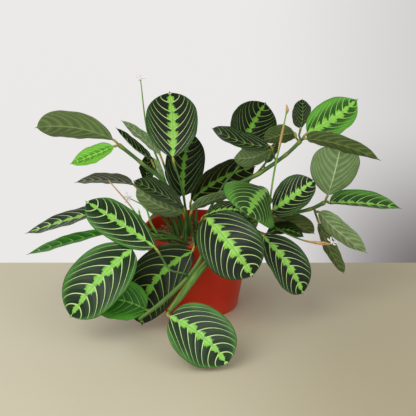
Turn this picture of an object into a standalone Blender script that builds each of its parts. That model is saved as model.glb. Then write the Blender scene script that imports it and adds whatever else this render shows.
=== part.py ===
"""Potted prayer plant: a nursery pot, its soil, and the leaves, stems and flowers of one maranta.

Metres, Z up, front towards -Y. The origin is the middle of the pot's base, on the ground.
Positions and lengths below are written in millimetres and scaled once, in place().
"""

import math

import bpy
import numpy as np

MM = 0.001

# The pot: a six inch nursery pot, thin moulded plastic, with a deep band round its rim.
POT_HEIGHT = 112
BASE_RADIUS = 55
WALL_TOP_RADIUS = 71.5
BAND_RADIUS = 74
RIM_RADIUS = 76
BAND_BOTTOM = 93
WALL = 2.0
FLOOR = 3.0
DRAIN_HOLES = 6
DRAIN_RING = 36
DRAIN_RADIUS = 5
DRAIN_TURN = 0.37
ROUND_STEPS = 40

# The soil fills the pot to a little below the rim and rises slightly towards the crown.
GAP = 0.3
SOIL_EDGE = 96
SOIL_RISE = 3

# A leaf is one piece: a round stalk that widens into a thin blade.
STALK_RADIUS = 1.7
STALK_STEPS = 3
BLADE_THICKNESS = 1.0
BLADE_RING = 8
STEM_RING = 6
BLADE_STATIONS = (0.0, 0.04, 0.13, 0.27, 0.43, 0.6, 0.76, 0.89, 0.97, 1.0)

COLOURS = {
    "terracotta": (0.42, 0.045, 0.018),
    "bark": (0.16, 0.075, 0.045),
    "dark": (0.022, 0.085, 0.032),
    "mid": (0.045, 0.17, 0.045),
    "young": (0.10, 0.36, 0.045),
    "pale": (0.18, 0.30, 0.15),
    "olive": (0.13, 0.19, 0.07),
    "stem": (0.11, 0.23, 0.075),
    "dry": (0.38, 0.25, 0.13),
    "petal": (0.80, 0.78, 0.74),
}
ROUGHNESS = {"terracotta": 0.35, "bark": 0.95, "petal": 0.6, "dry": 0.8}


def clear_scene():
    for item in list(bpy.data.objects):
        bpy.data.objects.remove(item)


def material_for(name, kind):
    """One Principled material for one piece."""
    material = bpy.data.materials.new(name)
    material.use_nodes = True
    shader = material.node_tree.nodes["Principled BSDF"]
    shader.inputs["Base Color"].default_value = (*COLOURS[kind], 1)
    shader.inputs["Roughness"].default_value = ROUGHNESS.get(kind, 0.45)
    shader.inputs["Metallic"].default_value = 0
    return material


def place(name, points, faces, kind):
    """Makes one object from points in millimetres."""
    mesh = bpy.data.meshes.new(name)
    mesh.from_pydata([tuple(float(c) * MM for c in point) for point in points], [], faces)
    mesh.materials.append(material_for(name, kind))
    mesh.validate()
    piece = bpy.data.objects.new(name, mesh)
    bpy.context.scene.collection.objects.link(piece)
    return piece


def unit(vector):
    return vector / np.linalg.norm(vector)


def loft(name, rings, kind):
    """Joins rings of equal count, in order, and closes both ends with a fan."""
    count = len(rings[0])
    points = [point for ring in rings for point in ring]
    faces = []
    for row in range(len(rings) - 1):
        for step in range(count):
            here = row * count + step
            beside = row * count + (step + 1) % count
            faces.append((here, beside, beside + count, here + count))
    for row in (0, len(rings) - 1):
        centre = len(points)
        points.append(np.mean(rings[row], axis=0))
        for step in range(count):
            here = row * count + step
            beside = row * count + (step + 1) % count
            faces.append((beside, here, centre) if row == 0 else (here, beside, centre))
    return place(name, points, faces, kind)


def turned(name, profile, kind):
    """A solid of revolution: the profile runs (radius, height) from axis to axis, anticlockwise."""
    points = []
    rows = []
    for radius, height in profile:
        if radius == 0:
            rows.append([len(points)] * ROUND_STEPS)
            points.append((0, 0, height))
            continue
        rows.append([len(points) + step for step in range(ROUND_STEPS)])
        for step in range(ROUND_STEPS):
            angle = 2 * math.pi * step / ROUND_STEPS
            points.append((radius * math.cos(angle), radius * math.sin(angle), height))
    faces = []
    for lower, upper in zip(rows, rows[1:]):
        for step in range(ROUND_STEPS):
            after = (step + 1) % ROUND_STEPS
            corners = [lower[step], lower[after], upper[after], upper[step]]
            faces.append(tuple(dict.fromkeys(corners)))
    return place(name, points, faces, kind)


def inner_radius(height):
    """Inside radius of the pot's wall at a height below the band."""
    share = (height - FLOOR) / (BAND_BOTTOM - FLOOR)
    return BASE_RADIUS - WALL + (WALL_TOP_RADIUS - BASE_RADIUS) * min(share, 1)


def soil_height(x, y):
    away = math.hypot(x, y) / inner_radius(SOIL_EDGE)
    return SOIL_EDGE + SOIL_RISE * (1 - min(away, 1) ** 2)


def build_pot():
    """The wall leans out to the band, steps out, and ends in a rolled rim."""
    profile = [
        (0, 0),
        (BASE_RADIUS - 2, 0),
        (BASE_RADIUS, 2),
        (WALL_TOP_RADIUS, BAND_BOTTOM - 1),
        (BAND_RADIUS, BAND_BOTTOM),
        (BAND_RADIUS + 0.6, POT_HEIGHT - 4),
        (RIM_RADIUS, POT_HEIGHT - 3.4),
        (RIM_RADIUS, POT_HEIGHT - 0.8),
        (RIM_RADIUS - 0.8, POT_HEIGHT),
        (BAND_RADIUS - 1, POT_HEIGHT),
        (BAND_RADIUS - 1.6, POT_HEIGHT - 0.8),
        (BAND_RADIUS - 2.4, BAND_BOTTOM + 5),
        (inner_radius(BAND_BOTTOM), BAND_BOTTOM),
        (inner_radius(FLOOR), FLOOR),
        (0, FLOOR),
    ]
    pot = turned("pot", profile, "terracotta")
    for number in range(DRAIN_HOLES):
        angle = 2 * math.pi * (number + DRAIN_TURN) / DRAIN_HOLES
        spot = (DRAIN_RING * math.cos(angle) * MM, DRAIN_RING * math.sin(angle) * MM, 0)
        bpy.ops.mesh.primitive_cylinder_add(
            vertices=16, radius=DRAIN_RADIUS * MM, depth=20 * MM, location=spot
        )
        cutter = bpy.context.object
        cutter.name = f"drain_cutter_{number + 1}"
        cutter.hide_render = True
        cutter.display_type = "WIRE"
        hole = pot.modifiers.new(cutter.name, "BOOLEAN")
        hole.operation = "DIFFERENCE"
        hole.solver = "EXACT"
        hole.object = cutter


def build_soil():
    """A plug that stands clear of the wall and floor, with a low mound on top."""
    heights = (FLOOR + GAP, BAND_BOTTOM, SOIL_EDGE)
    profile = [(0, heights[0])]
    for height in heights:
        profile.append((inner_radius(height) - GAP, height))
    for share in (0.75, 0.5, 0.25):
        radius = inner_radius(SOIL_EDGE) * share
        profile.append((radius, soil_height(radius, 0)))
    profile.append((0, SOIL_EDGE + SOIL_RISE))
    turned("soil", profile, "bark")


def spline(points, steps, first_pull=None, last_pull=None):
    """A smooth curve through the points. The pulls are extra points that only steer its ends."""
    first = first_pull if first_pull is not None else 2 * points[0] - points[1]
    last = last_pull if last_pull is not None else 2 * points[-1] - points[-2]
    chain = [first, *points, last]
    curve = []
    for a, b, c, d in zip(chain, chain[1:], chain[2:], chain[3:]):
        reach = np.linalg.norm(c - b)
        leave = unit(c - a) * reach
        arrive = unit(d - b) * reach
        for step in range(steps):
            s = step / steps
            curve.append(
                (2 * s**3 - 3 * s**2 + 1) * b
                + (s**3 - 2 * s**2 + s) * leave
                + (3 * s**2 - 2 * s**3) * c
                + (s**3 - s**2) * arrive
            )
    curve.append(points[-1])
    return curve


def tangents(curve):
    ends = [curve[0], *curve, curve[-1]]
    return [unit(after - before) for before, after in zip(ends, ends[2:])]


def across(direction, normal):
    """The normal squared up to a direction."""
    return unit(normal - (normal @ direction) * direction)


def ring(centre, direction, normal, half_width, half_height, count, cup=0.0, fold=0.0):
    """One closed section. Cup and fold lift its sides above its middle."""
    side = np.cross(direction, normal)
    section = []
    for step in range(count):
        angle = 2 * math.pi * step / count
        u = math.cos(angle)
        lift = half_width * (cup * u * u + fold * abs(u)) + half_height * math.sin(angle)
        section.append(centre - side * half_width * u + normal * lift)
    return section


def blade_width(t, lean):
    """Share of the full half width at t along the midrib. More lean puts the widest part further out."""
    return max(0.0, 1 - abs(2 * t**lean - 1) ** 2.4) ** 0.52


def leaf(name, kind, foot, base, middle, tip, half_width, facing,
         path=(), cup=0.12, fold=0.0, twist=0.0, lean=1.05, roots=True):
    """One leaf, from the foot of its stalk, by way of path, to the blade's base, middle and tip.

    facing is the way the upper side looks. twist turns the blade about its midrib, in degrees,
    from base to tip. A foot with two numbers stands on the soil.
    """
    if len(foot) == 2:
        foot = (*foot, soil_height(*foot) + GAP + 0.2)
    foot, base, middle, tip = (np.array(p, float) for p in (foot, base, middle, tip))
    path = [np.array(p, float) for p in path]
    facing = unit(np.array(facing, float))
    pull = foot - (0, 0, 25) if roots else None
    stalk = spline([foot, *path, base], STALK_STEPS, pull, middle)
    bend = 2 * middle - (base + tip) / 2
    blade = [(1 - t) ** 2 * base + 2 * t * (1 - t) * bend + t * t * tip for t in BLADE_STATIONS]
    curve = stalk[:-1] + blade
    directions = tangents(curve)
    if roots:
        directions[0] = np.array((0.0, 0.0, 1.0))
    joint = len(stalk) - 1
    normals = [None] * len(curve)
    for index in range(joint, len(curve)):
        t = BLADE_STATIONS[index - joint]
        squared = across(directions[index], facing)
        turn = math.radians(twist) * (t - 0.5)
        side = np.cross(directions[index], squared)
        normals[index] = math.cos(turn) * squared + math.sin(turn) * side
    for index in range(joint - 1, -1, -1):
        normals[index] = across(directions[index], normals[index + 1])
    rings = []
    for index, centre in enumerate(curve):
        t = BLADE_STATIONS[index - joint] if index >= joint else 0.0
        wide = max(STALK_RADIUS if index <= joint else 0.5, half_width * blade_width(t, lean))
        thick = STALK_RADIUS if index < joint else BLADE_THICKNESS / 2 + 1.0 * max(0, 0.1 - t) * 10
        lifted = (cup, fold) if index > joint else (0, 0)
        rings.append(ring(centre, directions[index], normals[index], wide, thick, BLADE_RING, *lifted))
    loft(name, rings, kind)


def stem(name, kind, points, radii, roots=True, steps=STALK_STEPS):
    """A round shoot through the points, with a radius at each."""
    if len(points[0]) == 2:
        points = [(*points[0], soil_height(*points[0]) + GAP + 0.2), *points[1:]]
    points = [np.array(p, float) for p in points]
    pull = points[0] - (0, 0, 25) if roots else None
    curve = spline(points, steps, pull)
    directions = tangents(curve)
    if roots:
        directions[0] = np.array((0.0, 0.0, 1.0))
    normal = across(directions[0], np.array((0.3, -1.0, 0.2)))
    rings = []
    for index, centre in enumerate(curve):
        normal = across(directions[index], normal)
        radius = np.interp(index / steps, range(len(radii)), radii)
        rings.append(ring(centre, directions[index], normal, radius, radius, STEM_RING))
    loft(name, rings, kind)


def flower(name, centre, up, petal_length, petals=4):
    """A small open flower: narrow petals that spread from a short throat, in one piece."""
    centre = np.array(centre, float)
    up = unit(np.array(up, float))
    east = across(up, np.array((1.0, 0.2, 0.1)))
    north = np.cross(up, east)
    around = 4 * petals
    rings = []
    for rise, reach in ((0, 0.25), (0.35, 0.45), (0.6, 1.0), (0.75, 0.5), (0.6, 0.15)):
        section = []
        for step in range(around):
            angle = 2 * math.pi * step / around
            lobe = 0.35 + 0.65 * math.cos(petals * angle / 2) ** 2
            spread = petal_length * reach * (lobe if reach == 1.0 else 0.5)
            outward = east * math.cos(angle) + north * math.sin(angle)
            section.append(centre + outward * spread + up * petal_length * rise)
        rings.append(section)
    loft(name, rings, "petal")


def build_stems():
    """The shoots that carry several leaves each."""
    stem("stem_left", "stem", [(-20, -2), (-42, -3, 172), (-77, -3, 206), (-106, -4, 231)],
         (3.0, 2.8, 2.4, 2.6))
    stem("stem_right_upper", "stem",
         [(6, -4), (39, -12, 166), (86, -13, 196), (118, -13, 220), (137, -13, 239)],
         (3.4, 3.2, 2.8, 2.4, 2.6))
    stem("stem_right", "stem",
         [(20, -16), (66, -32, 134), (110, -36, 142), (150, -31, 149), (170, -24, 156)],
         (3.0, 2.8, 2.4, 2.4, 2.8))
    stem("stem_front_left", "stem",
         [(2, -32), (9, -68, 121), (6, -88, 104), (-12, -101, 80), (-45, -117, 52), (-76, -127, 31)],
         (3.0, 3.0, 3.0, 3.0, 3.0, 2.0))
    stem("stem_front", "stem",
         [(12, -34), (20, -72, 122), (15, -98, 104), (-2, -117, 88), (-20, -138, 70), (-35, -158, 57)],
         (3.2, 3.4, 4.2, 4.6, 4.4, 3.0))


def build_left_leaves():
    leaf("leaf_left_top", "olive", (-109.5, -1, 234), (-114, 0, 237), (-163, -5, 255),
         (-216, -10, 256), 30, (0.05, 0.80, 0.60), lean=1.5, roots=False)
    leaf("leaf_left_young", "young", (-110, -8, 230), (-113, -9, 230), (-139, -14, 219),
         (-171, -18, 208), 17, (-0.24, -0.47, 0.85), roots=False)
    leaf("leaf_curled_upper", "pale", (-22, 12), (-52, 22, 210), (-75, 26, 232),
         (-105, 30, 256), 13, (0.52, 0.71, 0.48))
    leaf("leaf_curled_lower", "mid", (-27, 4), (-64, 12, 206), (-87, 14, 223),
         (-111, 15, 250), 14, (0.65, -0.12, 0.75), cup=0.3)
    leaf("leaf_top_tall", "dark", (-12, -4), (-34, 5, 211), (-34, 18, 254),
         (-38, 22, 298), 36, (-0.17, -0.97, 0.18), path=[(-22, -2, 170)], lean=1.25)
    leaf("leaf_behind_tall", "dark", (-11, 16), (-20, 32, 147), (-20, 44, 191),
         (-8, 52, 233), 31, (0.46, -0.88, 0.13))
    leaf("leaf_rolled_a", "mid", (-29, 12), (-71, 22, 173), (-70, 24, 190),
         (-68, 22, 211), 14, (0.2, -0.9, 0.3), cup=0.5)
    leaf("leaf_rolled_b", "pale", (-26, -9), (-50, 4, 179), (-54, 6, 192),
         (-61, 8, 210), 8, (0.8, 0.5, 0.1), cup=0.5)
    leaf("leaf_left_thin", "mid", (-30, -4), (-88, -5, 176), (-127, -3, 181),
         (-167, -2, 177), 24, (0.02, 0.0, 1.00))
    leaf("leaf_left_folded", "dark", (-16, -24), (-20, -28, 152), (-53, -36, 175),
         (-86, -34, 190), 28, (0.50, -0.16, 0.85))
    leaf("leaf_left_under", "pale", (-20, -16), (-21, -20, 141), (-54, -22, 152),
         (-83, -20, 175), 20, (0.25, 0.92, 0.30))
    leaf("leaf_far_left_upper", "dark", (-22, -26), (-125, -35, 149), (-177, -28, 132),
         (-235, -20, 110), 22, (-0.35, -0.14, 0.92), path=[(-38, -34, 114), (-72, -40, 126)])
    leaf("leaf_far_left_lower", "young", (-18, -32), (-122, -50, 122), (-177, -42, 105),
         (-233, -30, 83), 16, (-0.35, -0.12, 0.93), path=[(-40, -42, 114), (-76, -50, 120)],
         cup=0.2)


def build_front_leaves():
    leaf("leaf_front_left_upper", "dark", (-16, -108, 87), (-56, -95, 119), (-103, -84, 150),
         (-147, -65, 172), 27, (0.19, -0.68, 0.71), cup=-0.08, path=[(-36, -105, 92)], lean=1.15, roots=False)
    leaf("leaf_new_spike", "young", (-36, -51), (-68, -67, 123), (-74, -66.5, 143),
         (-77, -68, 163), 3, (0.2, -0.95, 0.2), path=[(-42, -54, 119)])
    leaf("leaf_front_left_lower", "dark", (-12, -38), (-85, -100, 118), (-128, -132, 86),
         (-164, -140, 39), 38, (-0.12, -0.83, 0.54), path=[(-48, -66, 120)])
    leaf("leaf_front_left_young", "young", (-58, -118, 41), (-68, -110, 37), (-102, -112, 52),
         (-145, -114, 52), 29, (0.19, -0.72, 0.67), roots=False)
    leaf("leaf_front_pot", "dark", (-4, -40), (-7, -87, 110), (-58, -86, 65),
         (-74, -92, 6), 35, (-0.35, -0.93, 0.15), path=[(-6, -66, 121)])
    leaf("leaf_front_bottom", "dark", (-38, -163, 54), (-34, -167, 52), (7, -195, 38),
         (38, -215, 8), 37, (-0.13, -0.78, 0.61), roots=False)
    leaf("leaf_front_centre", "dark", (4, -22), (13, -68, 149), (43, -108, 126),
         (72, -120, 87), 40, (-0.11, -0.81, 0.58))
    leaf("leaf_front_right_folded", "mid", (18, -8), (91, -45, 181), (76, -85, 182),
         (64, -115, 169), 45, (0.59, -0.32, 0.74), path=[(64, -34, 172)],
         cup=-0.28, lean=1.2)
    leaf("leaf_right_middle", "dark", (97, -38, 146), (100, -40, 151), (127, -52, 176),
         (154, -50, 196), 28, (-0.58, -0.58, 0.57), roots=False)
    leaf("leaf_right_lower", "dark", (18, -30), (86, -60, 121), (118, -80, 90),
         (140, -82, 47), 29, (0.40, -0.74, 0.54), lean=1.2, path=[(56, -50, 130)])
    leaf("leaf_right_low_dark", "dark", (26, -22), (92, -30, 113), (117, -34, 121),
         (143, -36, 111), 22, (0.06, -0.08, 1.00), path=[(70, -28, 120)])
    leaf("leaf_right_low_olive", "olive", (28, -12), (95, -16, 131), (122, -12, 125),
         (160, -5, 104), 25, (0.15, 0.74, 0.66))


def build_right_leaves():
    leaf("leaf_far_right", "mid", (174, -19, 156), (178, -14, 152), (222, -12, 151),
         (276, -15, 144), 25, (0.06, -0.18, 0.98), cup=0.3, roots=False)
    leaf("leaf_right_pale", "pale", (172, -22, 160), (175, -15, 164), (184, -14, 199),
         (191, -12, 238), 35, (-0.19, 0.96, 0.20), lean=1.3, roots=False)
    leaf("leaf_right_olive", "olive", (140, -18, 243), (144, -28, 246), (190, -42, 241),
         (240, -45, 221), 19, (0.27, 0.72, 0.64), lean=0.75, roots=False)
    leaf("leaf_right_top", "young", (141, -10, 244), (146, -5, 247), (181, 0, 266),
         (213, 5, 292), 31, (-0.40, -0.58, 0.71), roots=False)
    leaf("leaf_right_top_behind", "dark", (135, -4, 244), (139, 20, 248), (142, 31, 265),
         (141, 36, 284), 18, (-0.75, -0.65, 0.11), roots=False)
    leaf("leaf_top_round", "dark", (0, 4), (61, 15, 223), (74, 25, 252),
         (92, 29, 281), 34, (0.32, -0.94, 0.10), path=[(34, 6, 170), (60, 8, 204)])
    leaf("leaf_top_flat", "dark", (88, -9, 203), (96, -12, 231), (57, -20, 240),
         (18, -21, 259), 27, (0.20, -0.20, 0.96), path=[(99, -9, 221)], roots=False)
    leaf("leaf_top_under", "pale", (104, -9, 212), (95, 4, 221), (72, -1, 212),
         (48, -3, 213), 18, (-0.1, 0.93, 0.35), roots=False)
    leaf("leaf_top_olive", "olive", (131, -7, 241), (129, 0, 246), (112, 8, 241),
         (88, 14, 231), 18, (-0.09, 0.88, 0.45), roots=False)
    leaf("leaf_behind_shoot", "dark", (10, 10), (94, 54, 188), (101, 56, 204),
         (108, 55, 219), 15, (0.75, -0.59, -0.31), path=[(66, 62, 152)])
    leaf("leaf_behind_crown", "dark", (-2, 18), (-9, 22, 145), (33, 38, 171),
         (80, 40, 187), 33, (0.36, -0.85, -0.38))
    leaf("leaf_crown_pale", "pale", (-6, -18), (-8, -24, 146), (19, -26, 160),
         (54, -26, 171), 16, (-0.24, 0.69, 0.68))
    leaf("leaf_right_sage", "pale", (158, -34, 146), (162, -37, 147), (186, -46, 124),
         (228, -46, 91), 21, (0.48, 0.76, 0.44), roots=False)
    leaf("leaf_right_hanging", "olive", (157, -25, 144), (164, -20, 125), (180, -22, 87),
         (200, -24, 53), 16, (0.72, 0.62, 0.31), roots=False)
    leaf("leaf_crown_dark", "dark", (0, -14), (8, -38, 141), (37, -52, 156),
         (66, -58, 152), 20, (-0.25, -0.13, 0.96))


def build_back_leaves():
    leaf("leaf_back_left", "dark", (-20, 22), (-36, 50, 132), (-52, 88, 130),
         (-55, 130, 95), 30, (-0.2, 0.6, 0.8))
    leaf("leaf_back", "dark", (-4, 26), (0, 62, 138), (8, 102, 138),
         (14, 145, 104), 33, (0.0, 0.6, 0.8))
    leaf("leaf_back_right", "mid", (10, 22), (46, 54, 132), (72, 86, 130),
         (92, 116, 98), 31, (0.3, 0.5, 0.8))
    leaf("leaf_back_low_left", "dark", (-16, 34), (-34, 92, 104), (-46, 124, 78),
         (-44, 146, 38), 29, (-0.3, 0.85, 0.4), path=[(-26, 66, 122)])
    leaf("leaf_back_low_right", "young", (6, 34), (38, 92, 104), (58, 122, 84),
         (66, 150, 46), 28, (0.3, 0.85, 0.4), path=[(24, 66, 122)])


def build_flowers():
    """Thin stalks that end in small white flowers or in dry tips."""
    stem("flower_stalk_tall", "stem", [(-24, 18), (-52, 30, 190), (-69, 32, 240), (-77, 30, 312)],
         (1.2, 1.1, 1.0, 0.6))
    flower("flower_tall", (-77, 30, 313), (0.1, -0.2, 1), 5)
    stem("flower_stalk_dry", "stem",
         [(95, -35, 146), (97, -35, 170), (102, -31, 205), (109, -26, 241), (118, -21, 286)],
         (1.2, 1.2, 1.1, 1.0, 0.9), roots=False)
    stem("flower_stalk_left", "dry", [(-26, -36), (-66, -58, 128), (-88, -57, 162), (-116, -54, 196)],
         (1.2, 1.1, 1.0, 0.6))
    stem("flower_stalk_low_left", "stem", [(-46, -36), (-62, -45, 133), (-70, -42, 155),
                                           (-90, -42, 168)],
         (1.6, 1.6, 1.0, 0.6))
    flower("flower_low_left", (-92, -42, 169), (-1, 0, 0.3), 6)
    stem("flower_stalk_right", "dry",
         [(94, -42, 134), (112, -55, 126), (139, -58, 115), (176, -55, 108)],
         (1.2, 1.2, 1.4, 1.0), roots=False)
    flower("flower_right", (178, -55, 110), (0.4, -0.2, 1), 7)


clear_scene()
build_pot()
build_soil()
build_stems()
build_left_leaves()
build_front_leaves()
build_right_leaves()
build_back_leaves()
build_flowers()
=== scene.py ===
"""Looks of a potted prayer plant: its nursery pot, bark soil, leafy shoots and small flowers.

Metres, Z up, front towards -Y, origin at the middle of the pot's base.
"""

import itertools
import math

import bpy
import numpy as np
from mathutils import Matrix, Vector


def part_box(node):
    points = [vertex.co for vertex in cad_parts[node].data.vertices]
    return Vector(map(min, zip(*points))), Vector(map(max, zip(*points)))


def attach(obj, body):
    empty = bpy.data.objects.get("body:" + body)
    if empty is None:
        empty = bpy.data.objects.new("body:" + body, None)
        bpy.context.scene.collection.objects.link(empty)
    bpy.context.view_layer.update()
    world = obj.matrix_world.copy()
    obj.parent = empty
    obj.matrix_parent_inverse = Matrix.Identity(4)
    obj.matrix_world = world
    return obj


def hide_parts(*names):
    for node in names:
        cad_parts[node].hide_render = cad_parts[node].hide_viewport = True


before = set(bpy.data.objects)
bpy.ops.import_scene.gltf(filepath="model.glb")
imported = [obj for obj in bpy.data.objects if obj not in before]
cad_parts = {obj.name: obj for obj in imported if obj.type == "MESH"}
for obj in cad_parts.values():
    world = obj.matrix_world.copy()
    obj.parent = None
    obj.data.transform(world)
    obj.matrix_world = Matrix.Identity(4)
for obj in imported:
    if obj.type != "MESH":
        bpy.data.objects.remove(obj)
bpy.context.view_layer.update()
bpy.ops.object.select_all(action="DESELECT")

# Nursery pot. Thin red polypropylene, injection moulded in one shot, so it has a draft angle,
# a deep band round the mouth, a rolled lip and drain holes. The plant stands loose in it.
MM = 0.001
POT_SIDES = 144
POT_WALL = 0.0020
POT_FLOOR = 0.0030
DRAIN_HOLES = 6
DRAIN_RING = 0.036
DRAIN_RADIUS = 0.005
DRAIN_TURN = 0.37
DRAIN_SIDES = 32
MERGE = 1e-6

_, pot_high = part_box("pot")
pot_height = pot_high.z
lip_radius = pot_high.x
band_radius = lip_radius - 0.002
wall_top_radius = band_radius - 0.0025
base_radius = wall_top_radius - 0.0165
band_bottom = pot_height - 0.019


def colour(red, green, blue):
    """A paint chip's 0 to 255 values as scene colour."""
    chip = []
    for value in (red, green, blue):
        share = value / 255
        chip.append(share / 12.92 if share <= 0.04045 else ((share + 0.055) / 1.055) ** 2.4)
    return (*chip, 1.0)


def add(tree, kind, inputs, output=0, **options):
    """Adds one shader node, sets its options, and fills its inputs with values or other outputs."""
    node = tree.nodes.new(kind)
    for option, value in options.items():
        setattr(node, option, value)
    for socket, value in inputs.items():
        if isinstance(value, bpy.types.NodeSocket):
            tree.links.new(value, node.inputs[socket])
        else:
            node.inputs[socket].default_value = value
    return node.outputs[output]


def calc(tree, operation, *values):
    return add(tree, "ShaderNodeMath", dict(enumerate(values)), operation=operation)


def rise(tree, value, low, high):
    """0 below low, 1 above high, and a soft step between."""
    inputs = {"Value": value, "From Min": low, "From Max": high}
    return add(tree, "ShaderNodeMapRange", inputs, interpolation_type="SMOOTHSTEP")


def fall(tree, value, low, high):
    """1 below low, 0 above high."""
    return calc(tree, "SUBTRACT", 1.0, rise(tree, value, low, high))


def mix(tree, share, first, second):
    inputs = {0: share, 6: first, 7: second}
    return add(tree, "ShaderNodeMix", inputs, output=2, data_type="RGBA")


def noise(tree, place, scale, detail=2.0):
    return add(tree, "ShaderNodeTexNoise", {"Vector": place, "Scale": scale, "Detail": detail})


def stretched(tree, place, scale):
    return add(tree, "ShaderNodeMapping", {"Vector": place, "Scale": scale})


def bumped(tree, height, strength, distance):
    inputs = {"Height": height, "Strength": strength, "Distance": distance}
    return add(tree, "ShaderNodeBump", inputs)


def split_up(tree, vector):
    """The three numbers of a vector."""
    return [add(tree, "ShaderNodeSeparateXYZ", {"Vector": vector}, output=n) for n in range(3)]


def finish(name):
    """A new material, its node tree, its shader and Object coordinates."""
    material = bpy.data.materials.new(name)
    material.use_nodes = True
    tree = material.node_tree
    shader = tree.nodes["Principled BSDF"]
    place = add(tree, "ShaderNodeTexCoord", {}, output=3)
    return material, tree, shader, place


def pot_plastic():
    """Red plastic: faint mottling, fine turned rings, dust near the foot, scuffs."""
    material, tree, shader, place = finish("pot_plastic")
    cloud = noise(tree, place, 22.0, 3.0)
    grain = noise(tree, place, 900.0, 2.0)
    rings = noise(tree, stretched(tree, place, (4.0, 4.0, 900.0)), 1.0, 2.0)
    height = add(tree, "ShaderNodeSeparateXYZ", {"Vector": place}, output=2)
    dust = fall(tree, height, 0.0, 0.030)
    dust = calc(tree, "MULTIPLY", dust, rise(tree, cloud, 0.35, 0.75))
    body = mix(tree, rise(tree, cloud, 0.3, 0.7), colour(204, 46, 14), colour(188, 38, 10))
    body = mix(tree, calc(tree, "MULTIPLY", dust, 0.35), body, colour(176, 96, 72))
    scuff = rise(tree, noise(tree, stretched(tree, place, (60.0, 60.0, 400.0)), 1.0, 4.0), 0.66, 0.74)
    body = mix(tree, calc(tree, "MULTIPLY", scuff, 0.25), body, colour(214, 92, 66))
    tree.links.new(body, shader.inputs["Base Color"])
    shader.inputs["Specular IOR Level"].default_value = 0.3
    gloss = calc(tree, "MULTIPLY_ADD", cloud, 0.16, 0.30)
    gloss = calc(tree, "MULTIPLY_ADD", scuff, 0.18, gloss)
    tree.links.new(gloss, shader.inputs["Roughness"])
    relief = calc(tree, "MULTIPLY_ADD", rings, 0.6, calc(tree, "MULTIPLY", grain, 0.4))
    tree.links.new(bumped(tree, relief, 0.25, 0.0003), shader.inputs["Normal"])
    return material


def to_radius(old, new, height):
    """Opens or closes the selected ring about the pot's axis."""
    share = new / old
    bpy.ops.transform.resize(value=(share, share, 1), center_override=(0, 0, height))


def selected_only(piece, chosen):
    """In edit mode, leaves selected only the faces that chosen accepts."""
    bpy.ops.mesh.select_all(action="DESELECT")
    bpy.ops.object.mode_set(mode="OBJECT")
    for face in piece.data.polygons:
        face.select = chosen(face)
    bpy.ops.object.mode_set(mode="EDIT")


def apply_all(piece):
    bpy.context.view_layer.objects.active = piece
    for modifier in list(piece.modifiers):
        bpy.ops.object.modifier_apply(modifier=modifier.name)


pot_steps = [
    (base_radius - 0.0022, 0.0),
    (base_radius - 0.0006, 0.0005),
    (base_radius, 0.0020),
    (base_radius + 0.0010, 0.0080),
    (wall_top_radius - 0.0004, band_bottom - 0.0022),
    (wall_top_radius, band_bottom - 0.0010),
    (band_radius - 0.0008, band_bottom - 0.0006),
    (band_radius, band_bottom + 0.0006),
    (band_radius + 0.0005, pot_height - 0.0046),
    (lip_radius - 0.0007, pot_height - 0.0040),
    (lip_radius, pot_height - 0.0032),
    (lip_radius, pot_height - 0.0010),
    (lip_radius - 0.0004, pot_height - 0.0003),
    (lip_radius - 0.0011, pot_height),
    (band_radius - 0.0012, pot_height),
    (band_radius - 0.0017, pot_height - 0.0005),
    (band_radius - 0.0020, pot_height - 0.0012),
    (band_radius - 0.0025, band_bottom + 0.0050),
    (wall_top_radius - POT_WALL, band_bottom - 0.0010),
    (base_radius - POT_WALL + 0.0004, POT_FLOOR + 0.0015),
    (base_radius - POT_WALL - 0.0012, POT_FLOOR),
]
radius, height = pot_steps[0]
bpy.ops.mesh.primitive_circle_add(
    vertices=POT_SIDES, radius=radius, fill_type="NGON", location=(0, 0, height)
)
pot = bpy.context.object
pot.name = "nursery_pot"
bpy.ops.object.mode_set(mode="EDIT")
bpy.ops.mesh.select_mode(type="EDGE")
bpy.ops.mesh.select_all(action="SELECT")
for next_radius, next_height in pot_steps[1:]:
    bpy.ops.mesh.extrude_region_move()
    bpy.ops.transform.translate(value=(0, 0, next_height - height))
    to_radius(radius, next_radius, next_height)
    radius, height = next_radius, next_height
bpy.ops.mesh.select_all(action="SELECT")
bpy.ops.mesh.remove_doubles(threshold=MERGE)
bpy.ops.mesh.normals_make_consistent(inside=False)
bpy.ops.object.mode_set(mode="OBJECT")
for number in range(DRAIN_HOLES):
    turn = 2 * math.pi * (number + DRAIN_TURN) / DRAIN_HOLES
    spot = (DRAIN_RING * math.cos(turn), DRAIN_RING * math.sin(turn), 0)
    bpy.ops.mesh.primitive_cylinder_add(
        vertices=DRAIN_SIDES, radius=DRAIN_RADIUS, depth=4 * POT_FLOOR, location=spot
    )
    cutter = bpy.context.object
    hole = pot.modifiers.new("drain_hole", "BOOLEAN")
    hole.object = cutter
    apply_all(pot)
    bpy.data.objects.remove(cutter)
bpy.ops.object.select_all(action="DESELECT")
pot.select_set(True)
bpy.context.view_layer.objects.active = pot
bpy.ops.object.shade_smooth_by_angle(angle=math.radians(32))
pot.data.materials.clear()
pot.data.materials.append(pot_plastic())
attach(pot, "root")
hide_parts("pot")

# Potting mix. Brown bark and coir that fills the pot to below the lip, loose on top:
# crumbs, flat bark chips and short fibres lie on a lumpy mound.
SOIL_GAP = 0.0003
SOIL_RINGS = 26
SOIL_SIDES = 120
CHIP_SHAPES = 7
CHIPS = 900
CHIP_REACH = 0.965
CHIP_SMALLEST = 0.0014
CHIP_SPREAD = 0.0034
MOUND_RISE = 0.003
SOIL_SEED = 11

soil_low, soil_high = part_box("soil")
soil_top_radius = soil_high.x
soil_edge = soil_high.z - MOUND_RISE
chance = np.random.default_rng(SOIL_SEED)


def soil_height(x, y):
    """Height of the mound's top, in metres."""
    away = min(math.hypot(x, y) / (soil_top_radius + SOIL_GAP), 1)
    return soil_edge + MOUND_RISE * (1 - away**2)


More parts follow.
